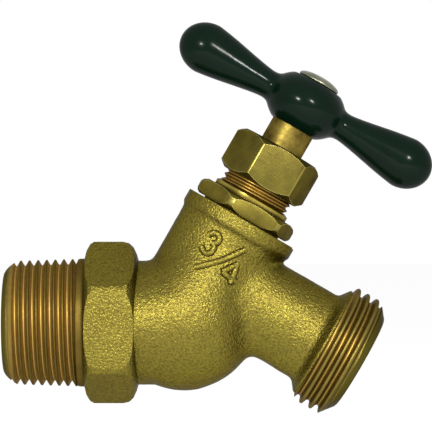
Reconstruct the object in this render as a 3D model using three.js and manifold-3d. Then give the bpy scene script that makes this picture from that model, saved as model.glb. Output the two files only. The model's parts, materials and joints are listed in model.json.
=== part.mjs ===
// Hose bib: a compression valve with a tapered pipe thread inlet, a hose thread outlet and a T-handle.
// Millimetres, +Z up. The origin is the centre of the inlet's end face, and +X points away from the wall.
// The stem line leans away from the wall; its own frame has +Z out along the stem and +X along the outlet.
import * as THREE from "three";
import { mergeVertices } from "three/addons/utils/BufferGeometryUtils.js";
import Module from "manifold-3d";

const wasm = await Module();
wasm.setup();

// ---- Driving dimensions ----

const restGap = 0.3; // left where one piece rests on another
const slideGap = 0.24; // round the stem in its plain bores
const threadGap = 0.16; // between the flanks and crests of engaged threads
const roundSides = 24; // sides of an ordinary round surface
const threadSides = 16; // sides of a large threaded surface
const fineSides = 16; // sides of a small threaded surface
const reach = 60; // longer than any cut needs to be
const stemRadius = 4.7625; // of the polished shank, which the bonnet, the packing nut and the handle fit round

const layout = {
  stemTilt: THREE.MathUtils.degToRad(30), // from the vertical, away from the wall
  stemFoot: 37.1, // from the inlet's end face to where the stem line crosses its axis
  outletRise: 11.5, // from that crossing, up the stem line, to the outlet's axis
};

const inlet = {
  crestRadius: 12.85, // at the end face
  taper: 1 / 32,
  pitch: 25.4 / 14,
  threadDepth: 1.2,
  threadLength: 15.6,
  chamfer: 1.7,
  shoulderRadius: 13.5,
  boreRadius: 9.4,
};

const wrenchHex = {
  acrossFlats: 30.2,
  turn: THREE.MathUtils.degToRad(4), // tips the front flat a little downwards
  cornerRadius: 17.1,
  start: 16.9,
  length: 11.4,
  nearChamfer: 1.9,
  farChamfer: 3.3,
  farBend: 1.3, // from the far end back to where its chamfer steepens
  farBendRadius: 16.05,
  chamferRadius: 13.6,
};

const globe = {
  radius: 15.8,
  level: -9.8,
  crown: 0.8, // of a true ball's height, above its middle
  wall: 3.2,
};
const inletNeckRadius = 13.1;

const seat = {
  level: -6.5, // the rim that the washer closes on
  holeRadius: 6.35,
  rimWidth: 1.3,
  rimHeight: 1,
  partition: 2,
};

const bonnetNeck = {
  radius: 11.9,
  chamberRadius: 9.2,
  collarRadius: 12.7,
  collarStart: 10.9,
  top: 14,
  gasketSeatRadius: 10.6,
  gasketSeatDepth: 1.3,
};

const outlet = {
  tubeRadius: 10,
  boreRadius: 7.4,
  flareStart: 26.3,
  flareEnd: 29.4,
  crestPlace: 26.24, // of a crest on the underside, before the flare cuts it away
  length: 37.2, // from the stem line to the end face
  crestRadius: 13.495,
  pitch: 25.4 / 11.5,
  threadDepth: 1.4,
  endChamfer: 2.1,
  endRadius: 10.7,
};

const bonnet = {
  bottom: 7.8,
  hexAcrossFlats: 20.3,
  hexHeight: 3.9,
  hexTurn: THREE.MathUtils.degToRad(12),
  hexChamfer: 0.7,
  shoulderRadius: stemRadius + 3.5375,
  shoulderHeight: 0.9,
  crestRadius: stemRadius + 2.9875,
  pitch: 1.27,
  threadDepth: 0.65,
  top: 26.4,
  boxRadius: stemRadius + 1.4375, // the stuffing box
  boxFloor: 20.2,
  ledge: 2.6, // between the stem thread and the stuffing box
};

const packingNut = {
  acrossFlats: 2 * stemRadius + 7.935,
  bottom: 21.7,
  top: 31,
  web: 2.4,
  turn: THREE.MathUtils.degToRad(9),
  chamfer: 1,
  boreRadius: stemRadius + 3.1875,
};

const packing = {
  ringHeight: 1.7,
  washerHeight: 0.6,
  glandFlange: 1.4,
  glandFlangeRadius: stemRadius + 2.6375,
  play: 0.16,
};

const stem = {
  radius: stemRadius,
  lead: 2.54,
  threadCore: stemRadius + 0.1875,
  threadCrest: stemRadius + 1.3375,
  threadBottom: 1.6,
  threadTop: 9.8,
  crestShare: 0.3, // of the lead
  rootShare: 0.46,
  buttonRadius: 3.1,
  buttonHeight: 0.9,
  waistRadius: 2.25,
  squareSide: 6.2,
  squareStart: 37.3,
  top: 45,
  tapRadius: 2.2,
  tapDepth: 7.4,
};

const disc = {
  holderRadius: 8.1,
  holderHeight: 3.2,
  lip: 0.9,
  washerRadius: 7.9,
  washerHeight: 3.2,
  screwRadius: 1.9,
  screwHeadRadius: 3.6,
  screwHeadHeight: 1.6,
  play: 0.3,
};

const handle = {
  level: 41.4, // of the arms' axis
  hubRadius: 8.9,
  hubHalfHeight: 6.6,
  hubBelow: 5.4, // flat underside, below the arms' axis
  hubAbove: 5.1,
  coating: 1,
  waistRadius: 3,
  waistPlace: 9.2,
  bellyRadius: 5.5,
  bellyPlace: 24,
  halfLength: 30.2,
  coreBelow: 3.8,
  coreAbove: 4.2,
  topOpening: 5.2,
  shankOpening: stemRadius + 0.2575,
  squareGap: 0.2,
};

const handleScrew = { headRadius: 4.6, headHeight: 1.6, shankRadius: 1.9, slotWidth: 1.1, slotDepth: 0.9 };
const handleWasher = { radius: 4.95, height: 0.5 };

// ---- Places that follow from them ----

const yAxis = new THREE.Vector3(0, 1, 0);
const stemDirection = new THREE.Vector3(0, 0, 1).applyAxisAngle(yAxis, layout.stemTilt);
const outletCross = new THREE.Vector3(layout.stemFoot, 0, 0).addScaledVector(stemDirection, layout.outletRise);
const turnedTo = (angle, origin) => new THREE.Matrix4().makeRotationY(angle).setPosition(origin);
const inletLine = turnedTo(Math.PI / 2, new THREE.Vector3());
const stemLine = turnedTo(layout.stemTilt, outletCross);
const outletLine = turnedTo(layout.stemTilt + Math.PI / 2, outletCross);
const armLine = new THREE.Matrix4().makeRotationY(Math.PI / 2);

const hexBottom = bonnetNeck.top + restGap;
const hexTop = hexBottom + bonnet.hexHeight;
const washerBottom = seat.level + restGap;
const washerTop = washerBottom + disc.washerHeight;
const holderBottom = washerTop + restGap;
const holderTop = holderBottom + disc.holderHeight;
const nutCeiling = packingNut.top - packingNut.web;

// ---- Materials ----

const finish = (color, roughness, metalness) => new THREE.MeshStandardMaterial({ color, roughness, metalness });
const castBrass = finish(0x9a8434, 0.55, 0.9);
const machinedBrass = finish(0xa88d3c, 0.35, 1);
const stemBrass = finish(0xb0903c, 0.25, 1);
const fibre = finish(0x7a3b2a, 0.9, 0);
const graphite = finish(0x2b2b2d, 0.85, 0.1);
const blackRubber = finish(0x151515, 0.85, 0);
const castIron = finish(0x6f7274, 0.6, 0.8);
const greenVinyl = finish(0x14241b, 0.3, 0);
const nickel = finish(0xa3a595, 0.35, 1);

// ---- Shapes ----

// A closed three.js geometry as a solid that can be joined and cut, put in place by a matrix.
function solidOf(geometry, place = new THREE.Matrix4()) {
  geometry.deleteAttribute("normal");
  geometry.deleteAttribute("uv");
  const merged = mergeVertices(geometry.applyMatrix4(place), 1e-4);
  const vertProperties = new Float32Array(merged.attributes.position.array);
  const triVerts = new Uint32Array(merged.index.array);
  return new wasm.Manifold(new wasm.Mesh({ numProp: 3, vertProperties, triVerts }));
}

function pieceOf(name, solid, material) {
  const { vertProperties, triVerts } = solid.getMesh();
  const geometry = new THREE.BufferGeometry();
  geometry.setAttribute("position", new THREE.BufferAttribute(vertProperties, 3));
  geometry.setIndex(new THREE.BufferAttribute(triVerts, 1));
  const mesh = new THREE.Mesh(geometry, material);
  mesh.name = name;
  return mesh;
}

// A solid of revolution round +Z. The profile is a list of [radius, height], rising on its outer side.
function turned(profile, place, sides = roundSides) {
  const points = profile.map(([radius, height]) => new THREE.Vector2(radius, height));
  return solidOf(new THREE.LatheGeometry(points, sides).rotateX(Math.PI / 2), place);
}

function rod(radius, bottom, top, place, sides) {
  return turned([[0, bottom], [radius, bottom], [radius, top], [0, top]], place, sides);
}

function ring(inner, outer, bottom, top, place, sides) {
  const profile = [[inner, bottom], [outer, bottom], [outer, top], [inner, top], [inner, bottom]];
  return turned(profile, place, sides);
}

// A hexagonal bar along +Z with a flat facing -Y, turned about its axis by an angle.
function hexBar(acrossFlats, bottom, top, place, angle) {
  const bar = new THREE.CylinderGeometry(acrossFlats / Math.sqrt(3), acrossFlats / Math.sqrt(3), top - bottom, 6);
  bar.rotateX(Math.PI / 2).rotateZ(angle + Math.PI / 6).translate(0, 0, (top + bottom) / 2);
  return solidOf(bar, place);
}

function squareBar(side, bottom, top) {
  return solidOf(new THREE.BoxGeometry(side, side, top - bottom).translate(0, 0, (top + bottom) / 2));
}

// A right-handed helical ridge round +Z with a trapezoid section; its radius grows by taper with height.
function helixRidge({ root, crest, rootWidth, crestWidth, lead, bottom, top, taper = 0, sides = threadSides }) {
  const positions = [];
  const index = [];
  const steps = Math.ceil(((top - bottom) / lead) * sides);
  for (let step = 0; step <= steps; step++) {
    const angle = (step / sides) * 2 * Math.PI;
    const middle = bottom + (step / sides) * lead;
    const corners = [[root, -rootWidth], [crest, -crestWidth], [crest, crestWidth], [root, rootWidth]];
    for (const [radius, width] of corners) {
      const grown = radius + taper * middle;
      positions.push(grown * Math.cos(angle), grown * Math.sin(angle), middle + width / 2);
    }
    if (step === steps) break;
    for (let side = 0; side < 4; side++) {
      const here = step * 4 + side;
      const beside = step * 4 + ((side + 1) % 4);
      index.push(here, here + 4, beside + 4, here, beside + 4, beside);
    }
  }
  const last = steps * 4;
  index.push(0, 1, 2, 0, 2, 3, last, last + 2, last + 1, last, last + 3, last + 2);
  const geometry = new THREE.BufferGeometry();
  geometry.setAttribute("position", new THREE.Float32BufferAttribute(positions, 3));
  geometry.setIndex(index);
  return geometry;
}

// ---- Valve body ----

const sunk = 0.25; // how far a ridge's root goes into its core

function inletSpud() {
  const { crestRadius, taper, pitch, threadDepth, threadLength, chamfer, shoulderRadius } = inlet;
  const coreRadius = crestRadius - threadDepth;
  const core = [[0, 0], [coreRadius, 0], [coreRadius + taper * threadLength, threadLength]];
  core.push([shoulderRadius, threadLength + 0.4], [shoulderRadius, wrenchHex.start + 1]);
  core.push([0, wrenchHex.start + 1]);
  const ridge = helixRidge({
    root: coreRadius - sunk,
    crest: crestRadius,
    rootWidth: pitch * 0.8,
    crestWidth: pitch * 0.12,
    lead: pitch,
    bottom: -pitch / 2,
    top: threadLength,
    taper,
  });
  const clear = shoulderRadius + sunk;
  const envelope = [[0, 0], [crestRadius - chamfer, 0], [clear, chamfer + clear - crestRadius]];
  envelope.push([clear, wrenchHex.start + 1], [0, wrenchHex.start + 1]);
  const threaded = turned(core, inletLine, threadSides).add(solidOf(ridge, inletLine));
  return threaded.intersect(turned(envelope, inletLine, threadSides));
}

function wrenchCollar() {
  const { acrossFlats, turn, cornerRadius, start, length, chamferRadius, farBendRadius } = wrenchHex;
  const end = start + length;
  const envelope = [[0, start], [chamferRadius, start], [cornerRadius, start + wrenchHex.nearChamfer]];
  envelope.push([cornerRadius, end - wrenchHex.farChamfer], [farBendRadius, end - wrenchHex.farBend]);
  envelope.push([chamferRadius, end], [0, end]);
  return hexBar(acrossFlats, start, end, inletLine, turn).intersect(turned(envelope, inletLine));
}

function outletSpout() {
  const { tubeRadius, flareStart, flareEnd, length, crestRadius, pitch, threadDepth } = outlet;
  const coreRadius = crestRadius - threadDepth;
  const rise = (crestRadius - tubeRadius) / (flareEnd - flareStart);
  const core = [[0, 0], [tubeRadius, 0], [tubeRadius, flareStart]];
  core.push([coreRadius, flareStart + (coreRadius - tubeRadius) / rise], [coreRadius, length], [0, length]);
  const ridge = helixRidge({
    root: coreRadius - sunk,
    crest: crestRadius,
    rootWidth: pitch * 0.82,
    crestWidth: pitch * 0.25,
    lead: pitch,
    bottom: outlet.crestPlace,
    top: length + pitch / 2,
  });
  const envelope = [[0, 0], [tubeRadius + sunk, 0], [tubeRadius + sunk, flareStart]];
  envelope.push([crestRadius + sunk, flareEnd], [crestRadius + sunk, length - outlet.endChamfer]);
  envelope.push([outlet.endRadius, length], [0, length]);
  const threaded = turned(core, outletLine, threadSides).add(solidOf(ridge, outletLine));
  return threaded.intersect(turned(envelope, outletLine, threadSides));
}

function neckWithCollar() {
  const { radius, collarRadius, collarStart, top } = bonnetNeck;
  const profile = [[0, globe.level], [radius, globe.level], [radius, collarStart]];
  profile.push([collarRadius, collarStart + 0.4], [collarRadius, top - 0.4], [collarRadius - 0.4, top], [0, top]);
  return turned(profile, stemLine);
}

// A ball on the stem line, its upper half flattened so that the necks run down onto it.
function globeSolid() {
  const middle = new THREE.Vector3(0, 0, globe.level).applyMatrix4(stemLine);
  const ball = new THREE.SphereGeometry(globe.radius, roundSides, roundSides / 2).translate(0, 0, globe.level);
  const { position } = ball.applyMatrix4(stemLine).attributes;
  for (let place = 0; place < position.count; place++) {
    const above = position.getZ(place) - middle.z;
    if (above > 0) position.setZ(place, middle.z + above * globe.crown);
  }
  return solidOf(ball);
}

// The way from the inlet to the underside of the seat.
function lowerWaterway() {
  const hollow = new THREE.SphereGeometry(globe.radius - globe.wall, roundSides, roundSides / 2);
  const chamber = solidOf(hollow.translate(0, 0, globe.level), stemLine);
  const bore = rod(inlet.boreRadius, -1, layout.stemFoot, inletLine);
  const underside = seat.level - seat.rimHeight - seat.partition;
  const below = new THREE.BoxGeometry(2 * reach, 2 * reach, reach).translate(0, 0, underside - reach / 2);
  return chamber.add(bore).intersect(solidOf(below, stemLine));
}

// The hole through the seat, the chamber above it and the recess for the bonnet's gasket.
function upperWaterway() {
  const { chamberRadius, top, gasketSeatRadius, gasketSeatDepth } = bonnetNeck;
  const floor = seat.level - seat.rimHeight;
  const rimRadius = seat.holeRadius + seat.rimWidth;
  const profile = [[0, floor - seat.partition - 1], [seat.holeRadius, floor - seat.partition - 1]];
  profile.push([seat.holeRadius, seat.level], [rimRadius, seat.level], [rimRadius + 0.2, floor]);
  profile.push([chamberRadius, floor], [chamberRadius, top - gasketSeatDepth]);
  profile.push([gasketSeatRadius, top - gasketSeatDepth], [gasketSeatRadius, top + 1], [0, top + 1]);
  return turned(profile, stemLine);
}

function valveBody() {
  const outside = inletSpud()
    .add(wrenchCollar())
    .add(rod(inletNeckRadius, wrenchHex.start, layout.stemFoot, inletLine))
    .add(globeSolid())
    .add(neckWithCollar())
    .add(outletSpout());
  return outside
    .subtract(lowerWaterway())
    .subtract(upperWaterway())
    .subtract(rod(outlet.boreRadius, 0, outlet.length + 1, outletLine));
}

// ---- Bonnet and packing ----

function bonnetGasket() {
  const inner = bonnetNeck.chamberRadius + 0.1;
  const outer = bonnetNeck.gasketSeatRadius - 0.2;
  const bottom = bonnetNeck.top - bonnetNeck.gasketSeatDepth + restGap;
  return ring(inner, outer, bottom, bonnetNeck.top);
}

// The stem's thread, grown by a gap: zero for the stem itself, and the play for the bonnet that it runs in.
function stemThread(gap, bottom, top) {
  const shift = ((bottom - stem.threadBottom) / stem.lead) * 2 * Math.PI;
  const ridge = helixRidge({
    root: stem.threadCore - sunk,
    crest: stem.threadCrest + gap,
    rootWidth: stem.lead * stem.rootShare + 2 * gap,
    crestWidth: stem.lead * stem.crestShare + 2 * gap,
    lead: stem.lead,
    bottom,
    top,
    sides: fineSides,
  });
  return solidOf(ridge.rotateZ(shift)).add(rod(stem.threadCore + gap, bottom, top, undefined, fineSides));
}

function bonnetPiece() {
  const { bottom, crestRadius, pitch, threadDepth, top, boxRadius, boxFloor, ledge } = bonnet;
  const acrossCorners = (2 * bonnet.hexAcrossFlats) / Math.sqrt(3);
  const chamfered = acrossCorners / 2 - 0.2;
  const threadStart = hexTop + bonnet.shoulderHeight;
  const coreRadius = crestRadius - threadDepth;
  const hexEnvelope = [[0, hexBottom], [bonnet.hexAcrossFlats / 2 + 0.6, hexBottom]];
  hexEnvelope.push([chamfered, hexBottom + bonnet.hexChamfer], [chamfered, hexTop - bonnet.hexChamfer]);
  hexEnvelope.push([bonnet.hexAcrossFlats / 2, hexTop], [0, hexTop]);
  const hex = hexBar(bonnet.hexAcrossFlats, hexBottom, hexTop, undefined, bonnet.hexTurn);
  const ridge = helixRidge({
    root: coreRadius - sunk,
    crest: crestRadius,
    rootWidth: pitch * 0.8,
    crestWidth: pitch * 0.15,
    lead: pitch,
    bottom: threadStart,
    top: top + pitch / 2,
    sides: fineSides,
  });
  const spigot = [[0, hexTop - 1], [bonnet.shoulderRadius, hexTop - 1], [bonnet.shoulderRadius, threadStart - 0.3]];
  spigot.push([coreRadius, threadStart], [coreRadius, top], [0, top]);
  const neck = turned(spigot, undefined, fineSides).add(solidOf(ridge)).intersect(rod(reach, hexTop - 1, top));
  const screwed = rod(bonnetNeck.chamberRadius - restGap, bottom, hexBottom + 1);
  const outside = hex.intersect(turned(hexEnvelope)).add(screwed).add(neck);
  return outside
    .subtract(stemThread(threadGap, bottom - 1, boxFloor - ledge))
    .subtract(rod(stem.radius + slideGap, bottom, top))
    .subtract(rod(boxRadius, boxFloor, top + 1));
}

function packingNutPiece() {
  const { acrossFlats, bottom, top, turn, chamfer, boreRadius } = packingNut;
  const corner = acrossFlats / Math.sqrt(3) - 0.1;
  const flat = acrossFlats / 2;
  const envelope = [[0, bottom], [flat, bottom], [corner, bottom + chamfer], [corner, top - chamfer]];
  envelope.push([flat - 0.3, top], [0, top]);
  return hexBar(acrossFlats, bottom, top, undefined, turn)
    .intersect(turned(envelope))
    .subtract(rod(boreRadius, bottom - 1, nutCeiling))
    .subtract(rod(stem.radius + slideGap, bottom, top + 1));
}

const packingInner = stem.radius + packing.play;
const packingOuter = bonnet.boxRadius - packing.play;
const packingWasherTop = bonnet.boxFloor + restGap + packing.washerHeight;
const packingRingBottom = (place) => packingWasherTop + restGap + place * (packing.ringHeight + restGap);

function packingRing(place) {
  const bottom = packingRingBottom(place);
  return ring(packingInner, packingOuter, bottom, bottom + packing.ringHeight);
}

function packingWasherPiece() {
  return ring(packingInner, packingOuter, bonnet.boxFloor + restGap, packingWasherTop);
}

// The follower: a nose in the stuffing box under a flange that the nut presses on.
function packingGland() {
  const flangeTop = nutCeiling - restGap;
  const flange = ring(packingInner, packing.glandFlangeRadius, flangeTop - packing.glandFlange, flangeTop);
  return flange.add(ring(packingInner, packingOuter, packingRingBottom(2), flangeTop));
}

// ---- Stem and disc ----

function stemPiece() {
  const buttonBottom = holderTop - disc.lip - restGap / 2 - stem.buttonHeight;
  const buttonTop = buttonBottom + stem.buttonHeight;
  const profile = [[0, buttonBottom], [stem.buttonRadius, buttonBottom], [stem.buttonRadius, buttonTop]];
  profile.push([stem.waistRadius, buttonTop], [stem.waistRadius, holderTop + restGap]);
  profile.push([stem.radius, holderTop + restGap], [stem.radius, stem.squareStart], [0, stem.squareStart]);
  const tapFloor = stem.top - stem.tapDepth;
  return turned(profile)
    .add(stemThread(0, stem.threadBottom, stem.threadTop))
    .add(squareBar(stem.squareSide, stem.squareStart - 1, stem.top))
    .subtract(rod(stem.tapRadius, tapFloor, stem.top + 1, undefined, 16));
}

// A cup whose lip is rolled in over the stem's button, so that it rises with the stem and need not turn.
function discHolder() {
  const socketRadius = stem.buttonRadius + disc.play;
  const lipRadius = stem.waistRadius + disc.play;
  const socketFloor = holderTop - disc.lip - stem.buttonHeight - restGap;
  const socket = [[0, holderBottom - 1], [disc.screwRadius + disc.play, holderBottom - 1]];
  socket.push([disc.screwRadius + disc.play, socketFloor], [socketRadius, socketFloor]);
  socket.push([socketRadius, holderTop - disc.lip], [lipRadius, holderTop - disc.lip]);
  socket.push([lipRadius, holderTop + 1], [0, holderTop + 1]);
  const cup = [[0, holderBottom], [disc.holderRadius, holderBottom], [disc.holderRadius, holderTop - 1.4]];
  cup.push([disc.holderRadius - 2, holderTop], [0, holderTop]);
  return turned(cup).subtract(turned(socket));
}

function seatWasher() {
  return ring(disc.screwRadius + disc.play, disc.washerRadius, washerBottom, washerTop);
}

function seatWasherScrew() {
  const { screwRadius, screwHeadRadius, screwHeadHeight, holderHeight } = disc;
  const headTop = washerBottom - restGap;
  const head = [[0, headTop - screwHeadHeight], [screwHeadRadius * 0.7, headTop - screwHeadHeight]];
  head.push([screwHeadRadius, headTop - screwHeadHeight * 0.5], [screwHeadRadius, headTop]);
  head.push([screwRadius, headTop], [screwRadius, holderBottom + holderHeight * 0.25]);
  head.push([0, holderBottom + holderHeight * 0.25]);
  const slot = new THREE.BoxGeometry(reach, 1, 1.4).translate(0, 0, headTop - screwHeadHeight);
  return turned(head, undefined, 20).subtract(solidOf(slot));
}

// ---- Handle, about the crossing of its arms and the stem line ----

// Half of the hub's outline, shrunk by a depth below the outer skin.
function hubSolid(depth, below, above) {
  const radius = handle.hubRadius - depth;
  const halfHeight = handle.hubHalfHeight - depth;
  const start = Math.asin(Math.max(-below / halfHeight, -1));
  const end = Math.asin(Math.min(above / halfHeight, 1));
  const profile = [[0, halfHeight * Math.sin(start)]];
  const steps = 7;
  for (let step = 0; step <= steps; step++) {
    const angle = start + ((end - start) * step) / steps;
    profile.push([radius * Math.cos(angle), halfHeight * Math.sin(angle)]);
  }
  profile.push([0, halfHeight * Math.sin(end)]);
  return turned(profile);
}

// Both arms: a waist by the hub, a long swell to the belly and a rounded end.
function armsSolid(depth) {
  const { waistRadius, waistPlace, bellyRadius, bellyPlace, halfLength } = handle;
  const half = [new THREE.Vector2(waistPlace, waistRadius - depth)];
  const swell = 0.88; // of the belly's extra radius is gained before its round end
  const nearBelly = bellyPlace - 2.5;
  half.push(new THREE.Vector2(nearBelly, waistRadius + (bellyRadius - waistRadius) * swell - depth));
  const endLength = halfLength - bellyPlace - depth;
  const steps = 5;
  for (let step = 0; step < steps; step++) {
    const angle = (Math.PI / 2) * (step / steps);
    const place = bellyPlace + endLength * Math.sin(angle);
    half.push(new THREE.Vector2(place, (bellyRadius - depth) * Math.cos(angle)));
  }
  half.push(new THREE.Vector2(bellyPlace + endLength, 0));
  const right = half.map((point) => [point.y, point.x]);
  const left = right.map(([radius, place]) => [radius, -place]).reverse();
  return turned([...left, ...right], armLine, 16);
}

function handleCore() {
  const { coating, hubBelow, hubAbove, coreBelow, coreAbove, topOpening, squareGap } = handle;
  const depth = coating + restGap;
  const hub = hubSolid(depth, hubBelow, hubAbove).add(rod(topOpening - restGap, 0, coreAbove));
  const clipped = hub.intersect(rod(reach, -coreBelow, coreAbove));
  const side = stem.squareSide + 2 * squareGap;
  return clipped.add(armsSolid(depth)).subtract(squareBar(side, -reach, reach));
}

function handleCoating() {
  const { coating, hubBelow, hubAbove, topOpening, shankOpening } = handle;
  const outside = hubSolid(0, hubBelow, hubAbove).add(armsSolid(0));
  const inside = hubSolid(coating, hubBelow, hubAbove).add(armsSolid(coating));
  return outside
    .subtract(inside)
    .subtract(rod(topOpening, 0, reach))
    .subtract(rod(shankOpening, -reach, 0));
}

const handleWasherBottom = handle.coreAbove + restGap;

function handleWasherPiece() {
  const hole = handleScrew.shankRadius + restGap;
  return ring(hole, handleWasher.radius, handleWasherBottom, handleWasherBottom + handleWasher.height);
}

function handleScrewPiece() {
  const { headRadius, headHeight, shankRadius, slotWidth, slotDepth } = handleScrew;
  const seatLevel = handleWasherBottom + handleWasher.height + restGap;
  const tip = stem.top - stem.tapDepth - handle.level + 1;
  const profile = [[0, tip], [shankRadius, tip], [shankRadius, seatLevel], [headRadius, seatLevel]];
  const steps = 5;
  for (let step = 1; step <= steps; step++) {
    const angle = (Math.PI / 2) * (step / steps);
    const rise = 0.3 + (headHeight - 0.3) * Math.sin(angle);
    profile.push([step === steps ? 0 : headRadius * Math.cos(angle), seatLevel + rise]);
  }
  const slot = new THREE.BoxGeometry(reach, slotWidth, 2 * slotDepth).translate(0, 0, seatLevel + headHeight);
  return turned(profile, undefined, 20).subtract(solidOf(slot));
}

// ---- Assembly ----

const turningHandle = new THREE.Group();
turningHandle.position.z = handle.level;
turningHandle.add(
  pieceOf("handle_core", handleCore(), castIron),
  pieceOf("handle_coating", handleCoating(), greenVinyl),
  pieceOf("handle_washer", handleWasherPiece(), machinedBrass),
  pieceOf("handle_screw", handleScrewPiece(), nickel),
);

const onStemLine = new THREE.Group();
onStemLine.position.copy(outletCross);
onStemLine.rotation.y = layout.stemTilt;
onStemLine.add(
  pieceOf("bonnet_gasket", bonnetGasket(), fibre),
  pieceOf("bonnet", bonnetPiece(), machinedBrass),
  pieceOf("packing_washer", packingWasherPiece(), machinedBrass),
  pieceOf("packing_ring_lower", packingRing(0), graphite),
  pieceOf("packing_ring_upper", packingRing(1), graphite),
  pieceOf("packing_gland", packingGland(), machinedBrass),
  pieceOf("packing_nut", packingNutPiece(), machinedBrass),
  pieceOf("stem", stemPiece(), stemBrass),
  pieceOf("disc_holder", discHolder(), machinedBrass),
  pieceOf("seat_washer", seatWasher(), blackRubber),
  pieceOf("seat_washer_screw", seatWasherScrew(), machinedBrass),
  turningHandle,
);

const hoseBib = new THREE.Group();
hoseBib.add(pieceOf("valve_body", valveBody(), castBrass), onStemLine);

export default hoseBib;
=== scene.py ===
"""A brass hose bib with a dipped T-handle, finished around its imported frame.

Sizes are in millimetres and turned to metres by MM. Pieces on the stem line are modelled standing on the
world's Z axis, with the outlet towards +X, and then laid on that line.
"""
import json
import math

import bpy
from mathutils import Matrix, Vector


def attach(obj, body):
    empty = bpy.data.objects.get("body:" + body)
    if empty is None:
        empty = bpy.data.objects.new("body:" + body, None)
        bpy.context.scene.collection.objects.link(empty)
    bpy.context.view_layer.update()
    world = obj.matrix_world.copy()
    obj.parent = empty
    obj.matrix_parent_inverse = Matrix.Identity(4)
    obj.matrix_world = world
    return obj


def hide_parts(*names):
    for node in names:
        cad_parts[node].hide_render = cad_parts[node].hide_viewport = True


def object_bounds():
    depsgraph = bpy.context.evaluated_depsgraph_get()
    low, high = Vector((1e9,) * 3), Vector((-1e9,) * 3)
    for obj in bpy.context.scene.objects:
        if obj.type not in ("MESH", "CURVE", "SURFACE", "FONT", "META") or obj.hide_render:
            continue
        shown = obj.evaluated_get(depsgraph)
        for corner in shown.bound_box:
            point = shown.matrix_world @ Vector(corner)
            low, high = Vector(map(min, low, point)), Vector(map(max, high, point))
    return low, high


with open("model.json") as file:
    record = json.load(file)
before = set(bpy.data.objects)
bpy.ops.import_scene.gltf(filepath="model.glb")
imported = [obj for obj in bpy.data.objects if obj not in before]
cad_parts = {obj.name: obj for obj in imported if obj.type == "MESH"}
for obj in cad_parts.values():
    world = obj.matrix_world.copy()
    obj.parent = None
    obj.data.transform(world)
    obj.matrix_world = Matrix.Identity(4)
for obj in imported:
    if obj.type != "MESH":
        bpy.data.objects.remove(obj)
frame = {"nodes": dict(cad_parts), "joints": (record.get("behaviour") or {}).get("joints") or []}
cad_box = [list(corner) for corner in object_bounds()]

MM = 0.001
FIXED, TURNING = "body_and_bonnet", "stem_and_handle"

# ---- The lines that the pieces are laid on ----

joints = {joint["name"]: joint for joint in frame["joints"]}
stem_direction = Vector(joints["handle_turn"]["axis"]).normalized()
stem_origin = Vector(joints["handle_turn"]["pos_m"])
STEM_TILT = math.atan2(stem_direction.x, stem_direction.z)


def line(origin, tilt):
    """The place of a piece modelled along +Z that is to lie along a line tilted from the vertical."""
    return Matrix.Translation(origin) @ Matrix.Rotation(tilt, 4, "Y")


STEM_LINE = line(stem_origin, STEM_TILT)
OUTLET_LINE = line(stem_origin, STEM_TILT + math.pi / 2)
INLET_LINE = line(Vector((0, 0, 0)), math.pi / 2)

# ---- Sizes of the pieces, in millimetres ----

ROUND = 96  # sides of a large round piece
INCH = 25.4
INLET_PITCH, OUTLET_PITCH, BONNET_PITCH, STEM_LEAD = INCH / 14, INCH / 11.5, INCH / 20, INCH / 10
GLOBE_RADIUS, GLOBE_LEVEL, GLOBE_WALL = 15.8, -9.8, 3.2
CROWN = 0.8  # height of the globe's upper half, as a share of a ball's
INLET_NECK, INLET_BORE, STEM_FOOT = 13.1, 9.4, 37.1
INLET_CREST, PIPE_TAPER = 12.85, 1 / 32  # the pipe thread's radius at its end, and its growth for each length
HEX_START, HEX_END, HEX_FLATS, HEX_CORNER = 17.0, 28.1, 30.2, 17.1
HEX_TURN = math.radians(4)
NECK_RADIUS, COLLAR_RADIUS, COLLAR_START, NECK_TOP = 11.9, 12.7, 10.8, 14.0
CHAMBER_RADIUS, GASKET_SEAT, GASKET_DEPTH = 9.2, 10.6, 1.3
SEAT_LEVEL, SEAT_HOLE, SEAT_RIM, PARTITION = -6.5, 6.35, 1.3, 2.0
OUTLET_TUBE, OUTLET_BORE, OUTLET_END = 10.0, 7.4, 36.95
FLARE_START, OUTLET_CREST = 26.0, 13.58
BONNET_FLATS, NUT_FLATS = 20.3, 17.46
BONNET_TURN, NUT_TURN = math.radians(12), math.radians(9)  # how far each hex is turned round the stem
STEM_RADIUS, STEM_HOLE = 4.7625, 5.0
SQUARE_SIDE = 6.2  # of the stem's square end, which drives the handle
HANDLE_LEVEL = 41.4
HUB_RADIUS, HUB_HALF, HUB_BELOW, HUB_ABOVE = 8.9, 6.6, 5.4, 5.1
SKIN = 1.0  # thickness of the vinyl
ARM_WAIST, WAIST_PLACE, ARM_BELLY, BELLY_PLACE, ARM_END = 3.0, 9.2, 5.5, 23.9, 30.1
WAIST_DEPTH, BELLY_DEPTH = 3.9, 5.0  # half of an arm from front to back, where the radii above are half its height
STROKE_RADIUS = 0.74  # of the raised numerals
FLANK_SHARE = 0.78  # width of the globe's sloping front and back, as a share of its depth
SHOULDER_SHARE = 0.84  # height of the globe's shoulder behind the hex, as a share of its depth
COLLAR_SHIFT = 0.3  # the sand core sat a little off the machined line


# ---- Small helps for working by hand ----

DOUBLES = 1e-6  # vertices closer than this, in metres, are one
CAST_VOXEL, VINYL_VOXEL = 0.33, 0.3  # size of the cells that a blended skin is remeshed with


def clear_selection():
    """Lets go of everything, as an operator acts on all that is selected."""
    bpy.ops.object.select_all(action="DESELECT")


def take(piece):
    """Makes one object the only selected and active one."""
    clear_selection()
    piece.select_set(True)
    bpy.context.view_layer.objects.active = piece


def begin_edit(piece, mode="VERT"):
    """Opens one piece in edit mode, all of it selected."""
    take(piece)
    bpy.ops.object.mode_set(mode="EDIT")
    bpy.ops.mesh.select_mode(type=mode)
    bpy.ops.mesh.select_all(action="SELECT")


def end_edit():
    bpy.ops.object.mode_set(mode="OBJECT")


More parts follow.
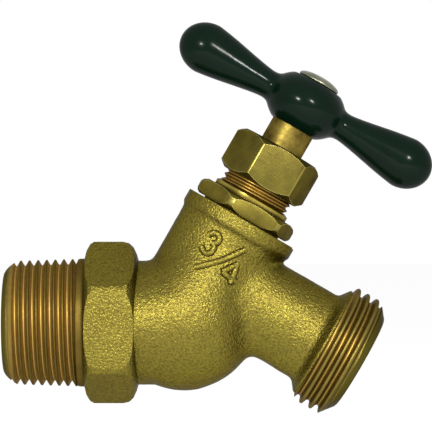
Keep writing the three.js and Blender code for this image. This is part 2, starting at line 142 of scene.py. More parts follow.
def tidy_mesh(piece):
    """Merges doubles, closes what is open and turns every face outwards."""
    begin_edit(piece)
    bpy.ops.mesh.remove_doubles(threshold=DOUBLES)
    bpy.ops.mesh.fill_holes(sides=0)
    bpy.ops.mesh.select_all(action="SELECT")
    bpy.ops.mesh.normals_make_consistent(inside=False)
    end_edit()


def apply_modifier(piece, kind, **settings):
    """Adds a modifier with its settings and applies it."""
    take(piece)
    modifier = piece.modifiers.new(kind.lower(), kind)
    for name, value in settings.items():
        setattr(modifier, name, value)
    bpy.ops.object.modifier_apply(modifier=modifier.name)


def boolean(piece, tool, operation):
    """Joins, cuts or keeps what two closed solids share, and uses up the second."""
    apply_modifier(piece, "BOOLEAN", operation=operation, object=tool, solver="MANIFOLD")
    bpy.data.objects.remove(tool)


def place_mesh(piece, place):
    """Lays a piece on its line and leaves its object at the origin."""
    take(piece)
    piece.matrix_world = place @ piece.matrix_world
    bpy.ops.object.transform_apply(location=True, rotation=True, scale=True)
    return piece


def shade(piece, angle):
    """Shades smooth, but for edges sharper than an angle in degrees."""
    take(piece)
    bpy.ops.object.shade_smooth_by_angle(angle=math.radians(angle))


def named(piece, name):
    """Names an object and its mesh alike."""
    piece.name = name
    piece.data.name = name
    return piece


# ---- Shapes made by hand ----


def turned(profile, sides=ROUND):
    """Turns (radius, height) pairs round Z: a circle extruded and scaled from ring to ring, then closed."""
    radius, height = profile[0]
    clear_selection()
    bpy.ops.mesh.primitive_circle_add(vertices=sides, radius=radius * MM, location=(0, 0, height * MM))
    piece = bpy.context.object
    bpy.ops.object.transform_apply(location=True, rotation=True, scale=True)
    begin_edit(piece)
    for next_radius, next_height in profile[1:]:
        rise = (0, 0, (next_height - height) * MM)
        bpy.ops.mesh.extrude_region_move(TRANSFORM_OT_translate={"value": rise})
        if next_radius == 0:
            bpy.ops.mesh.merge(type="CENTER")
        elif next_radius != radius:
            grown = next_radius / radius
            bpy.ops.transform.resize(value=(grown, grown, 1), center_override=(0, 0, next_height * MM))
        radius, height = next_radius, next_height
    end_edit()
    tidy_mesh(piece)
    return piece


def block(width, depth, height, middle):
    """A block of sizes along X, Y and Z, its middle at a height on Z."""
    clear_selection()
    size = (width * MM, depth * MM, height * MM)
    bpy.ops.mesh.primitive_cube_add(size=1, location=(0, 0, middle * MM), scale=size)
    piece = bpy.context.object
    bpy.ops.object.transform_apply(location=True, rotation=True, scale=True)
    return piece


def begin_path():
    """A mesh of one vertex at the origin, open in edit mode, to be moved and extruded along a path."""
    clear_selection()
    bpy.ops.mesh.primitive_plane_add(size=MM, location=(0, 0, 0))
    path = bpy.context.object
    begin_edit(path)
    bpy.ops.mesh.merge(type="CENTER")
    return path


def hex_bar(across_flats, bottom, top, turn, edge_round, segments=4):
    """A hexagonal bar round Z with a flat towards -Y, turned by an angle, its six long edges rounded."""
    clear_selection()
    bpy.ops.mesh.primitive_cylinder_add(
        vertices=6,
        radius=across_flats / math.sqrt(3) * MM,
        depth=(top - bottom) * MM,
        location=(0, 0, (top + bottom) / 2 * MM),
        rotation=(0, 0, turn + math.pi / 6),
    )
    piece = bpy.context.object
    bpy.ops.object.transform_apply(location=True, rotation=True, scale=True)
    begin_edit(piece, "EDGE")
    bpy.ops.mesh.select_all(action="DESELECT")
    end_edit()
    for edge in piece.data.edges:
        ends = [piece.data.vertices[index].co for index in edge.vertices]
        edge.select = abs(ends[0].z - ends[1].z) > 0.5 * (top - bottom) * MM
    bpy.ops.object.mode_set(mode="EDIT")
    bpy.ops.mesh.bevel(offset=edge_round * MM, segments=segments, affect="EDGES")
    end_edit()
    return piece


def screw_thread(outline, pitch, bottom, top, crest_at, sides=ROUND):
    """A threaded bar round Z, its ends cut square.

    The outline is one pitch of (radius, share of the pitch), its crest halfway, and a crest crosses the +X side at
    a given height.
    """
    piece = begin_path()
    start = crest_at - (math.ceil((crest_at - bottom) / pitch) + 2.5) * pitch
    first = (outline[0][0] * MM, 0, (start + outline[0][1] * pitch) * MM)
    bpy.ops.transform.translate(value=first)
    for (radius, share), (next_radius, next_share) in zip(outline, outline[1:]):
        step = ((next_radius - radius) * MM, 0, (next_share - share) * pitch * MM)
        bpy.ops.mesh.extrude_region_move(TRANSFORM_OT_translate={"value": step})
    end_edit()
    turns = math.ceil((top - start) / pitch) + 1
    apply_modifier(piece, "SCREW", axis="Z", screw_offset=pitch * MM, iterations=turns, steps=sides,
                   render_steps=sides, use_merge_vertices=True, merge_threshold=DOUBLES)
    begin_edit(piece)
    bpy.ops.mesh.remove_doubles(threshold=DOUBLES)
    for height, up in ((top, 1), (bottom, -1)):
        bpy.ops.mesh.select_all(action="SELECT")
        bpy.ops.mesh.bisect(plane_co=(0, 0, height * MM), plane_no=(0, 0, up), use_fill=True, clear_outer=True,
                            threshold=1e-8)
    end_edit()
    tidy_mesh(piece)
    return piece


def taper(piece, growth):
    """Widens a piece round Z by a growth of radius for each length."""
    for vertex in piece.data.vertices:
        flat = math.hypot(vertex.co.x, vertex.co.y)
        if flat:
            share = (flat + growth * vertex.co.z) / flat
            vertex.co.x *= share
            vertex.co.y *= share


def bar(radius, bottom, top, sides=ROUND):
    """A plain round bar on Z."""
    return turned([(radius, bottom), (radius, top)], sides)


def arc(centre, radius, start, end, steps):
    """Points (radius, height) of an arc in a profile, its angles in degrees from the outward direction."""
    points = []
    for step in range(steps + 1):
        angle = math.radians(start + (end - start) * step / steps)
        points.append((centre[0] + radius * math.cos(angle), centre[1] + radius * math.sin(angle)))
    return points


def v_thread(crest, depth, crest_flat, root_flat):
    """One pitch of a thread's outline, from root to root, with narrow flats."""
    flank = (1 - crest_flat - root_flat) / 2
    root = crest - depth
    return [
        (root, 0),
        (root, root_flat / 2),
        (crest, root_flat / 2 + flank),
        (crest, root_flat / 2 + flank + crest_flat),
        (root, 1 - root_flat / 2),
        (root, 1),
    ]


def round_thread(crest, depth, steps=16):
    """One pitch of a thread with broad, round-shouldered crests and roots: a wave flattened at both ends."""
    breadth = 1.4
    points = []
    for step in range(steps + 1):
        share = step / steps
        lift = 0.5 - 0.5 * math.tanh(breadth * math.cos(2 * math.pi * share)) / math.tanh(breadth)
        points.append((crest - depth + depth * lift, share))
    return points


# ---- Node groups and materials ----


def group_of(name, inputs, outputs):
    """A shader node group with float inputs (name: default) and the named outputs."""
    group = bpy.data.node_groups.new(name, "ShaderNodeTree")
    for socket, default in inputs.items():
        made = group.interface.new_socket(socket, in_out="INPUT", socket_type="NodeSocketFloat")
        made.default_value = default
    vector = group.interface.new_socket("Vector", in_out="INPUT", socket_type="NodeSocketVector")
    vector.hide_value = True
    for socket, kind in outputs.items():
        group.interface.new_socket(socket, in_out="OUTPUT", socket_type=kind)
    return group, group.nodes.new("NodeGroupInput"), group.nodes.new("NodeGroupOutput")


def feed(tree, socket, value):
    """Links an output into an input, or sets the input to a plain value."""
    if isinstance(value, bpy.types.NodeSocket):
        tree.links.new(value, socket)
    else:
        socket.default_value = value


def node(tree, kind, *ordered, **named_inputs):
    """Adds a node and feeds its inputs, in their order or by their names."""
    made = tree.nodes.new(kind)
    for socket, value in zip(made.inputs, ordered):
        feed(tree, socket, value)
    for name, value in named_inputs.items():
        feed(tree, made.inputs[name], value)
    return made


def math_node(tree, operation, first, second=0.0):
    made = node(tree, "ShaderNodeMath", first, second)
    made.operation = operation
    return made.outputs[0]


def vector_math(tree, operation, *vectors):
    made = node(tree, "ShaderNodeVectorMath", *vectors)
    made.operation = operation
    return made.outputs


def noise(tree, vector, scale, detail=2.0, rough=0.5, distortion=0.0):
    settings = {"Scale": scale, "Detail": detail, "Roughness": rough, "Distortion": distortion}
    return node(tree, "ShaderNodeTexNoise", Vector=vector, **settings).outputs["Fac"]


def remap(tree, value, low, high, out_low=0.0, out_high=1.0):
    """Carries one range of a value over to another, held at its ends."""
    limits = {"From Min": low, "From Max": high, "To Min": out_low, "To Max": out_high}
    return node(tree, "ShaderNodeMapRange", Value=value, **limits).outputs["Result"]


def mix_color(tree, factor, first, second):
    """Mixes two colours. A Mix node keeps its colour inputs at 6 and 7, and its colour output at 2."""
    made = tree.nodes.new("ShaderNodeMix")
    made.data_type = "RGBA"
    for index, value in ((0, factor), (6, first), (7, second)):
        feed(tree, made.inputs[index], value)
    return made.outputs[2]


RIM_SHADE_TINT = (0.36, 0.36, 0.43, 1)  # brass at a glancing angle, held dark and bluish as painted shade at the rims
# a darker colour for the last part of a thread, towards its free end
DARK_END_COLOR = (0.095, 0.08, 0.016, 1)
ROOT_BOUNCE_LIGHT = (0.35, 0.228, 0.056, 1)  # painted bounce light at a thread's roots: a redder, brighter brass than its crests


def build_cast_grain():
    """Worm-like sand grain, a few tenths of a millimetre across, in a height and a mask of its pits."""
    group, given, out = group_of(
        "cast_grain", {"Scale": 3000.0}, {"Height": "NodeSocketFloat", "Pits": "NodeSocketFloat"}
    )
    vector, scale = given.outputs["Vector"], given.outputs["Scale"]
    coarse = noise(group, vector, scale, 1.0, distortion=0.4)
    fine = noise(group, vector, math_node(group, "MULTIPLY", scale, 2.6), 2.0)
    worms = math_node(group, "MULTIPLY", coarse, 3.0)
    height = math_node(group, "ADD", worms, math_node(group, "MULTIPLY", fine, 0.5))
    group.links.new(height, out.inputs["Height"])
    group.links.new(remap(group, coarse, 0.3, 0.6), out.inputs["Pits"])
    return group


def build_tarnish():
    """Slow patches of tarnish, from a few millimetres across."""
    group, given, out = group_of("tarnish", {"Scale": 130.0}, {"Patches": "NodeSocketFloat"})
    slow = noise(group, given.outputs["Vector"], given.outputs["Scale"], 4.0, 0.62)
    group.links.new(remap(group, slow, 0.3, 0.7), out.inputs["Patches"])
    return group


CAST_GRAIN = build_cast_grain()
TARNISH = build_tarnish()


def new_material(name, **constants):
    """A material with its shader and object coordinates; constants go on the shader's own sockets."""
    material = bpy.data.materials.new(name)
    material.use_nodes = True
    tree = material.node_tree
    shader = tree.nodes["Principled BSDF"]
    for socket, value in constants.items():
        shader.inputs[socket.replace("_", " ")].default_value = value
    coordinates = tree.nodes.new("ShaderNodeTexCoord").outputs["Object"]
    return material, tree, shader, coordinates


def use_group(tree, group, vector, scale):
    """Places a shared effect in a material at a scale of its own."""
    made = tree.nodes.new("ShaderNodeGroup")
    made.node_tree = group
    made.inputs["Scale"].default_value = scale
    tree.links.new(vector, made.inputs["Vector"])
    return made.outputs


def bump(tree, shader, height, strength, distance):
    """Raises the surface by a height, at a strength, over a distance in metres."""
    made = node(tree, "ShaderNodeBump", Height=height, Strength=strength, Distance=distance)
    tree.links.new(made.outputs["Normal"], shader.inputs["Normal"])


def cast_brass():
    """Sand-cast brass, its grain bright over darker pits, in slow patches of tarnish."""
    material, tree, shader, place = new_material("sand_cast_brass", Metallic=1.0, Specular_Tint=RIM_SHADE_TINT)
    clean, dull, pitted = (0.196, 0.163, 0.0255, 1), (0.169, 0.135, 0.0225, 1), (0.108, 0.084, 0.0165, 1)
    sand = use_group(tree, CAST_GRAIN, place, 2300.0)
    patches = use_group(tree, TARNISH, place, 130.0)["Patches"]
    color = mix_color(tree, sand["Pits"], pitted, mix_color(tree, patches, clean, dull))
    tree.links.new(color, shader.inputs["Base Color"])
    tree.links.new(remap(tree, sand["Pits"], 0, 1, 0.42, 0.35), shader.inputs["Roughness"])
    bump(tree, shader, sand["Height"], 1.0, 0.065 * MM)
    return material


def root_light_mask(tree, place, along, direction, root_light):
    """A mask for painted bounce light, from nought at a thread's roots to one at its crests.

    Its place is given as the thread line's start, its growth of radius for each length, and its radii at root and
    crest.
    """
    start, growth, root, crest = root_light
    arm_to = vector_math(tree, "SUBTRACT", place, start)["Vector"]
    cross = vector_math(tree, "CROSS_PRODUCT", arm_to, direction)["Vector"]
    away = vector_math(tree, "LENGTH", cross)["Value"]
    level = math_node(tree, "SUBTRACT", away, math_node(tree, "MULTIPLY", along, growth))
    return remap(tree, level, root, crest)


def machined_brass(name, tint, dark, roughness, direction, lines=9000.0, relief=0.25, dark_span=None, root_light=None):
    """Satin brass with fine tool lines that lie across a direction, and slow tarnish.

    It may have painted bounce light in its thread roots, and a darker end from one distance along its line to another.
    """
    material, tree, shader, place = new_material(name, Metallic=1.0, Specular_Tint=RIM_SHADE_TINT)
    along = vector_math(tree, "DOT_PRODUCT", place, direction)["Value"]
    across = node(tree, "ShaderNodeCombineXYZ", X=along)
    tool = noise(tree, across.outputs[0], lines)
    patches = use_group(tree, TARNISH, place, 260.0)["Patches"]
    speck = noise(tree, place, 1500.0, 3.0, 0.6)
    patchy, lined = math_node(tree, "MULTIPLY", patches, 0.6), math_node(tree, "MULTIPLY", tool, 0.4)
    shift = math_node(tree, "ADD", patchy, lined)
    color = mix_color(tree, remap(tree, shift, 0.25, 0.75), dark, tint)
    # painted bounce light: the roots get a redder, brighter brass than the crests
    if root_light:
        color = mix_color(tree, root_light_mask(tree, place, along, direction, root_light), ROOT_BOUNCE_LIGHT, color)
    # darker towards the thread's free end, over a span along its line
    if dark_span:
        reach = math_node(tree, "ADD", along, math_node(tree, "MULTIPLY", speck, 0.8 * MM))
        color = mix_color(tree, remap(tree, reach, *dark_span), color, DARK_END_COLOR)
    tree.links.new(color, shader.inputs["Base Color"])
    rough = remap(tree, speck, 0.3, 0.7, roughness - 0.05, roughness + 0.08)
    tree.links.new(rough, shader.inputs["Roughness"])
    height = math_node(tree, "ADD", tool, math_node(tree, "MULTIPLY", speck, 0.5))
    bump(tree, shader, height, relief, 0.05 * MM)
    return material


def dipped_vinyl():
    """Dark green vinyl with a soft gloss and the slow ripple of a dip."""
    gloss = {"Coat_Weight": 0.15, "Coat_IOR": 1.5, "Coat_Roughness": 0.17}
    material, tree, shader, place = new_material("green_vinyl", IOR=1.12, Specular_IOR_Level=0.1, **gloss)
    patches = use_group(tree, TARNISH, place, 90.0)["Patches"]
    color = mix_color(tree, patches, (0.0009, 0.0076, 0.0034, 1), (0.0021, 0.0104, 0.0053, 1))
    tree.links.new(color, shader.inputs["Base Color"])
    ripple = noise(tree, place, 420.0, 1.0)
    dust = noise(tree, place, 5200.0)
    tree.links.new(remap(tree, dust, 0.35, 0.7, 0.24, 0.34), shader.inputs["Roughness"])
    bump(tree, shader, ripple, 0.22, 0.15 * MM)
    return material


def nickel_plate():
    """Dull nickel plate, clouded in small patches."""
    material, tree, shader, place = new_material("nickel_plate", Metallic=1.0)
    patches = use_group(tree, TARNISH, place, 420.0)["Patches"]
    color = mix_color(tree, patches, (0.12, 0.125, 0.085, 1), (0.2, 0.205, 0.15, 1))
    tree.links.new(color, shader.inputs["Base Color"])
    tree.links.new(remap(tree, patches, 0, 1, 0.42, 0.3), shader.inputs["Roughness"])
    bump(tree, shader, noise(tree, place, 2600.0, 3.0), 0.3, 0.04 * MM)
    return material


def matt(name, dark, pale, roughness, grain):
    """A dull finish for rubber, fibre, graphite and raw iron, with a fine grain."""
    material, tree, shader, place = new_material(name)
    sand = noise(tree, place, grain, 3.0, 0.6)
    tree.links.new(mix_color(tree, remap(tree, sand, 0.3, 0.7), dark, pale), shader.inputs["Base Color"])
    tree.links.new(remap(tree, sand, 0.3, 0.7, roughness, roughness - 0.15), shader.inputs["Roughness"])
    bump(tree, shader, sand, 0.4, 0.08 * MM)
    return material


INLET_DIRECTION = (1, 0, 0)
OUTLET_DIRECTION = tuple(OUTLET_LINE.to_3x3() @ Vector((0, 0, 1)))
STEM_DIRECTION = tuple(stem_direction)
OUTLET_RIM = stem_origin.dot(Vector(OUTLET_DIRECTION)) + OUTLET_END * MM  # how far along its line the outlet ends

CAST = cast_brass()
INLET_BRASS = machined_brass(
    "inlet_thread_brass", (0.142, 0.094, 0.0185, 1), (0.1, 0.071, 0.0145, 1), 0.53, INLET_DIRECTION,
    dark_span=(2.6 * MM, 1.2 * MM), root_light=((0, 0, 0), PIPE_TAPER, 12.3 * MM, 12.9 * MM),
)
OUTLET_BRASS = machined_brass(
    "outlet_thread_brass", (0.195, 0.143, 0.032, 1), (0.138, 0.104, 0.025, 1), 0.4, OUTLET_DIRECTION,
    dark_span=(OUTLET_RIM - 2.2 * MM, OUTLET_RIM - 1.0 * MM),
    root_light=(tuple(stem_origin), 0.0, 11.2 * MM, 13.3 * MM),
)
HEX_BRASS = machined_brass(
    "hex_brass", (0.127, 0.103, 0.0195, 1), (0.083, 0.066, 0.014, 1), 0.43, STEM_DIRECTION,
    lines=5000.0, relief=1.0,
)
BONNET_BRASS = machined_brass(
    "bonnet_brass", (0.17, 0.136, 0.0225, 1), (0.11, 0.086, 0.016, 1), 0.42, STEM_DIRECTION,
    lines=5000.0, relief=1.0,
)
# Worn edges given a painted highlight: the hexagons' bevels get a brass far brighter than their faces.
WORN_HIGHLIT_EDGE = machined_brass(
    "worn_highlit_edge_brass", (0.66, 0.57, 0.2, 1), (0.46, 0.39, 0.12, 1), 0.4, STEM_DIRECTION, lines=5000.0,
)
# Worn corners given a painted highlight: the hexagons' rounded corners get a brighter, glossier brass than their
# flats.
WORN_HIGHLIT_CORNER = machined_brass(
    "worn_highlit_corner_brass", (0.25, 0.205, 0.045, 1), (0.19, 0.155, 0.035, 1), 0.3, STEM_DIRECTION,
)
BONNET_THREAD_BRASS = machined_brass(
    "bonnet_thread_brass", (0.32, 0.205, 0.044, 1), (0.2, 0.13, 0.03, 1), 0.42, STEM_DIRECTION,
)
STEM_BRASS = machined_brass(
    "stem_brass", (0.21, 0.154, 0.029, 1), (0.07, 0.049, 0.011, 1), 0.43, STEM_DIRECTION,
    lines=2500.0, relief=0.7,
)
SHOULDER_BRASS = machined_brass(
    "shoulder_brass", (0.34, 0.27, 0.055, 1), (0.2, 0.155, 0.03, 1), 0.3, STEM_DIRECTION,
)
VINYL = dipped_vinyl()
NICKEL = nickel_plate()
RUBBER = matt("black_rubber", (0.012, 0.012, 0.012, 1), (0.03, 0.03, 0.03, 1), 0.8, 2400.0)
FIBRE = matt("pressed_fibre", (0.12, 0.04, 0.025, 1), (0.22, 0.08, 0.05, 1), 0.9, 3200.0)
GRAPHITE = matt("graphite_packing", (0.015, 0.015, 0.017, 1), (0.05, 0.05, 0.055, 1), 0.75, 2800.0)
IRON = matt("cast_iron", (0.06, 0.06, 0.06, 1), (0.16, 0.155, 0.15, 1), 0.75, 1800.0)


EDGE_SLOT, CORNER_SLOT = 1, 2  # where a hexagon's worn edges and corners, with their painted highlights, stand among its materials


def give(piece, *materials):
    """Gives a piece its materials, in the order of its slots."""
    piece.data.materials.clear()
    for material in materials:
        piece.data.materials.append(material)


# ---- Valve body ----


def rough_casting():
    """Globe, neck with its collar, inlet neck and outlet tube, joined with their creases still sharp."""
    clear_selection()
    bpy.ops.mesh.primitive_uv_sphere_add(segments=64, ring_count=32, radius=GLOBE_RADIUS * MM,
                                         location=(0, 0, GLOBE_LEVEL * MM))
    casting = place_mesh(bpy.context.object, STEM_LINE)
    middle = stem_origin + stem_direction * GLOBE_LEVEL * MM
    begin_edit(casting)
    bpy.ops.mesh.select_all(action="DESELECT")
    end_edit()
    for vertex in casting.data.vertices:
        vertex.select = vertex.co.z > middle.z + 0.01 * MM
    bpy.ops.object.mode_set(mode="EDIT")
    bpy.ops.transform.resize(value=(1, 1, CROWN), center_override=middle)
    end_edit()
    outline = [(GLOBE_RADIUS - 0.15, GLOBE_LEVEL + 1.5), (GLOBE_RADIUS - 0.55, GLOBE_LEVEL + 4)]
    outline += [(NECK_RADIUS + 0.1, 6)]
    flanks = turned(outline)
    place_mesh(flanks, Matrix.Scale(FLANK_SHARE, 4, Vector((1, 0, 0))))
    place_mesh(flanks, STEM_LINE)
    outline = [(NECK_RADIUS - 0.1, GLOBE_LEVEL), (NECK_RADIUS - 0.1, 8), (NECK_RADIUS + 0.1, NECK_TOP)]
    neck = place_mesh(turned(outline), STEM_LINE)
    outline = [(NECK_RADIUS - 1, COLLAR_START - 1), (NECK_RADIUS, COLLAR_START - 0.35)]
    outline += [(COLLAR_RADIUS - 0.2, COLLAR_START + 0.25), (COLLAR_RADIUS, COLLAR_START + 0.7)]
    outline += [(COLLAR_RADIUS, NECK_TOP + 1)]
    collar = turned(outline)
    place_mesh(collar, Matrix.Translation((COLLAR_SHIFT * MM, 0, 0)))
    place_mesh(collar, STEM_LINE)
    inlet_neck = place_mesh(bar(INLET_NECK, HEX_START + 0.6, STEM_FOOT), INLET_LINE)
    outline = [(GLOBE_RADIUS - 0.9, HEX_END - 1), (GLOBE_RADIUS - 0.5, HEX_END + 2.5)]
    outline += [(GLOBE_RADIUS - 0.7, HEX_END + 5), (9, STEM_FOOT + 1)]
    shoulder = turned(outline)
    place_mesh(shoulder, Matrix.Scale(SHOULDER_SHARE, 4, Vector((1, 0, 0))))
    place_mesh(shoulder, INLET_LINE)
    outline = [(OUTLET_TUBE, 0), (OUTLET_TUBE, FLARE_START - 0.2), (OUTLET_TUBE + 0.5, FLARE_START + 0.5)]
    outline += [(OUTLET_TUBE + 2.4, FLARE_START + 1.9), (OUTLET_TUBE + 2.3, FLARE_START + 2.4)]
    tube = place_mesh(turned(outline), OUTLET_LINE)
    for part in (flanks, neck, collar, inlet_neck, shoulder, tube):
        boolean(casting, part, "UNION")
    return casting


def wrench_hex():
    """The hexagon behind the inlet thread, its corners cut back by a turned outline."""
    piece = hex_bar(HEX_FLATS, HEX_START - 0.4, HEX_END + 0.2, HEX_TURN, edge_round=0.6)
    outline = [(13.0, HEX_START - 0.4), (13.5, HEX_START - 0.1), (15.3, HEX_START + 0.35)]
    outline += [(16.6, HEX_START + 1.1), (HEX_CORNER, HEX_START + 1.9)]
    outline += [(HEX_CORNER, HEX_END - 3.1), (16.75, HEX_END - 1.8), (15.9, HEX_END - 0.9)]
    outline += [(14.4, HEX_END - 0.2), (13.0, HEX_END + 0.2)]
    boolean(piece, turned(outline), "INTERSECT")
    apply_modifier(piece, "BEVEL", width=0.35 * MM, segments=3, limit_method="ANGLE", angle_limit=math.radians(24))
    return place_mesh(piece, INLET_LINE)


def between(value, start, span):
    """Nought before the start, one past the span, and a straight rise between."""
    return min(max((value - start) / span, 0.0), 1.0)


def soften(piece, weight, rounds):
    """Smooths the vertices, each by a weight that its place gives, which turns a crease into a fillet."""
    group = piece.vertex_groups.new(name="soft")
    for vertex in piece.data.vertices:
        group.add([vertex.index], weight(vertex.co), "REPLACE")
    apply_modifier(piece, "SMOOTH", factor=0.5, iterations=rounds, vertex_group="soft")
    piece.vertex_groups.clear()


def uneven(piece, size, height):
    """Gives a cast skin its slight waviness."""
    clouds = bpy.data.textures.new("sand_mould", "CLOUDS")
    clouds.noise_scale = size * MM
    apply_modifier(piece, "DISPLACE", texture=clouds, strength=height * MM, mid_level=0.5, texture_coords="LOCAL")


def stem_height(place):
    """How far up the stem line a place is."""
    return (place - stem_origin).dot(stem_direction)


def outlet_depth(place):
    """How far along the outlet line a place is."""
    return (place - stem_origin).dot(Vector(OUTLET_DIRECTION))


def cut_waterways(piece):
    """The inlet bore and lower chamber, the seat hole and upper chamber, and the outlet bore."""
    underside = SEAT_LEVEL - 1 - PARTITION
    hollow = GLOBE_RADIUS - GLOBE_WALL
    widest = math.degrees(math.asin((underside - GLOBE_LEVEL) / hollow))
    lower = place_mesh(turned(arc((0, GLOBE_LEVEL), hollow, -88, widest, 16), 64), STEM_LINE)
    boolean(piece, lower, "DIFFERENCE")
    bore = place_mesh(bar(INLET_BORE, 0, STEM_FOOT, 64), INLET_LINE)
    side = 60  # of a block larger than the body, its top at the partition's underside
    clear_selection()
    bpy.ops.mesh.primitive_cube_add(size=side * MM, location=(0, 0, (underside - side / 2) * MM))
    below = place_mesh(bpy.context.object, STEM_LINE)
    boolean(bore, below, "INTERSECT")
    boolean(piece, bore, "DIFFERENCE")
    floor = SEAT_LEVEL - 1
    rim = SEAT_HOLE + SEAT_RIM
    chamber = [(SEAT_HOLE, underside - 1), (SEAT_HOLE, SEAT_LEVEL), (rim, SEAT_LEVEL), (rim + 0.2, floor)]
    chamber += [(CHAMBER_RADIUS, floor), (CHAMBER_RADIUS, NECK_TOP - GASKET_DEPTH)]
    chamber += [(GASKET_SEAT, NECK_TOP - GASKET_DEPTH), (GASKET_SEAT, NECK_TOP + 2)]
    boolean(piece, place_mesh(turned(chamber, 64), STEM_LINE), "DIFFERENCE")
    boolean(piece, place_mesh(bar(OUTLET_BORE, 0, OUTLET_END + 2, 64), OUTLET_LINE), "DIFFERENCE")


def make_casting():
    """The valve body: the rough casting with its creases filleted, then the hex, the faced rim and the waterways."""
    casting = rough_casting()
    apply_modifier(casting, "REMESH", mode="VOXEL", voxel_size=CAST_VOXEL * MM)

    def cheeks(place):
        """The front and back, where the globe runs smoothly into the necks and the outlet tube."""
        along = between(place.x, (HEX_END + 1) * MM, 4 * MM) * between(outlet_depth(place), -8 * MM, 3 * MM)
        along *= between(-outlet_depth(place), -24.5 * MM, 2 * MM)
        level = between(stem_height(place), -26 * MM, 6 * MM) * between(-stem_height(place), -8.5 * MM, 2 * MM)
        return along * level * between(abs(place.y), 3.5 * MM, 2 * MM)

    def underside(place):
        """The corner between the globe and the outlet tube."""
        along = between(outlet_depth(place), 10 * MM, 2 * MM) * between(-outlet_depth(place), -23 * MM, 2 * MM)
        return along * between(-stem_height(place), 5 * MM, MM)

    def inlet_crotch(place):
        """The corner over the inlet neck."""
        along = between(place.x, (HEX_END + 0.4) * MM, MM) * between(-outlet_depth(place), 6 * MM, 2 * MM)
        return along * between(place.z, 6 * MM, 2 * MM) * between(-stem_height(place), -4 * MM, 2 * MM)

    def outlet_crotch(place):
        """The corner under the collar, over the outlet tube."""
        along = between(outlet_depth(place), 6 * MM, 3 * MM) * between(-outlet_depth(place), -20 * MM, 2 * MM)
        return along * between(stem_height(place), 6 * MM, 2 * MM) * between(-stem_height(place), -11.4 * MM, 0.4 * MM)

    soften(casting, cheeks, 400)
    soften(casting, underside, 260)
    soften(casting, inlet_crotch, 60)
    soften(casting, outlet_crotch, 40)
    soften(casting, lambda place: 1.0, 2)
    uneven(casting, size=2.6, height=0.1)
    rim = arc((COLLAR_RADIUS - 0.3, NECK_TOP - 0.3), 0.3, 90, 0, 5)
    rim += [(20, NECK_TOP - 0.3), (20, NECK_TOP + 4)]
    boolean(casting, place_mesh(turned(rim), STEM_LINE), "DIFFERENCE")
    boolean(casting, wrench_hex(), "UNION")
    cut_waterways(casting)
    named(casting, "casting")
    shade(casting, 40)
    give(casting, CAST)
    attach(casting, FIXED)
    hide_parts("valve_body")
    return casting


def stroke(points, host):
    """A raised round-backed stroke through points (across, up) on the front of the neck, laid on the casting."""
    path = begin_path()
    last = Vector((0, 0, 0))
    for index, (across, up) in enumerate(points):
        place = Vector((across, -math.sqrt(NECK_RADIUS ** 2 - across ** 2), up)) * MM
        if index == 0:
            bpy.ops.transform.translate(value=place)
        else:
            bpy.ops.mesh.extrude_region_move(TRANSFORM_OT_translate={"value": place - last})
        last = place
    end_edit()
    place_mesh(path, STEM_LINE)
    bpy.ops.object.convert(target="CURVE")
    bpy.ops.object.mode_set(mode="EDIT")
    bpy.ops.curve.select_all(action="SELECT")
    bpy.ops.curve.spline_type_set(type="BEZIER")
    bpy.ops.curve.handle_type_set(type="AUTOMATIC")
    end_edit()
    path.data.resolution_u = 8
    bpy.ops.object.convert(target="MESH")
    apply_modifier(path, "SHRINKWRAP", target=host, wrap_method="NEAREST_SURFACEPOINT", wrap_mode="ON_SURFACE")
    bpy.ops.object.convert(target="CURVE")
    path.data.bevel_depth = STROKE_RADIUS * MM
    path.data.bevel_resolution = 3
    path.data.use_fill_caps = True
    bpy.ops.object.convert(target="MESH")
    tidy_mesh(path)
    return path


def make_numerals(host):
    """The nominal size, three over four, cast proud of the neck."""
    three = [(-4.2, 7.5), (-3.65, 8.3), (-2.8, 8.65), (-2.0, 8.3), (-1.7, 7.55), (-2.05, 6.8), (-2.8, 6.45)]
    lower = [(-2.5, 6.5), (-1.95, 6.0), (-1.75, 5.2), (-2.0, 4.4), (-2.65, 4.0), (-3.5, 4.25), (-4.25, 4.8)]
    slash = [(-2.8, 0.0), (0.8, 4.4), (4.0, 8.7)]
    four = [(4.0, 5.3), (2.9, 3.7), (1.8, 2.2)]
    crossbar = [(1.8, 2.2), (3.4, 2.0), (5.2, 1.9)]
    upright = [(4.0, 5.3), (4.3, 3.3), (4.3, 0.8)]
    strokes = [stroke(points, host) for points in (three, lower, slash, four, crossbar, upright)]
    numerals = strokes[0]
    clear_selection()
    for made in strokes:
        made.select_set(True)
    bpy.context.view_layer.objects.active = numerals
    bpy.ops.object.join()
    named(numerals, "cast_numerals")
    shade(numerals, 60)
    give(numerals, CAST)
    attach(numerals, FIXED)


def make_inlet_thread():
    """The tapered pipe thread, run out on a plain shoulder against the hex."""
    crest, length = INLET_CREST, 15.6
    shoulder, end = 13.5, HEX_START + 0.7
    outline = v_thread(crest + 0.12, depth=1.1, crest_flat=0.14, root_flat=0.13)
    piece = screw_thread(outline, INLET_PITCH, 0, length, crest_at=0.7)
    taper(piece, PIPE_TAPER)
    rim = [(crest - 2.3, -0.5), (crest - 2.3, 0), (crest - 1.7, 0.35), (crest - 1.1, 0.9), (crest - 0.45, 1.7)]
    rim += [(crest + 0.1, 2.6), (shoulder + 0.3, 4), (shoulder + 0.3, length + 1)]
    boolean(piece, turned(rim), "INTERSECT")
    collar = [(INLET_BORE + 1, length - 0.4), (12.6, length - 0.4), (shoulder - 0.1, length), (shoulder, length + 0.4)]
    collar += [(shoulder, HEX_START - 0.1), (shoulder - 0.3, end)]
    boolean(piece, turned(collar), "UNION")
    boolean(piece, bar(INLET_BORE, -1, end + 1, 64), "DIFFERENCE")
    named(place_mesh(piece, INLET_LINE), "inlet_thread")
    shade(piece, 35)
    give(piece, INLET_BRASS)
    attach(piece, FIXED)


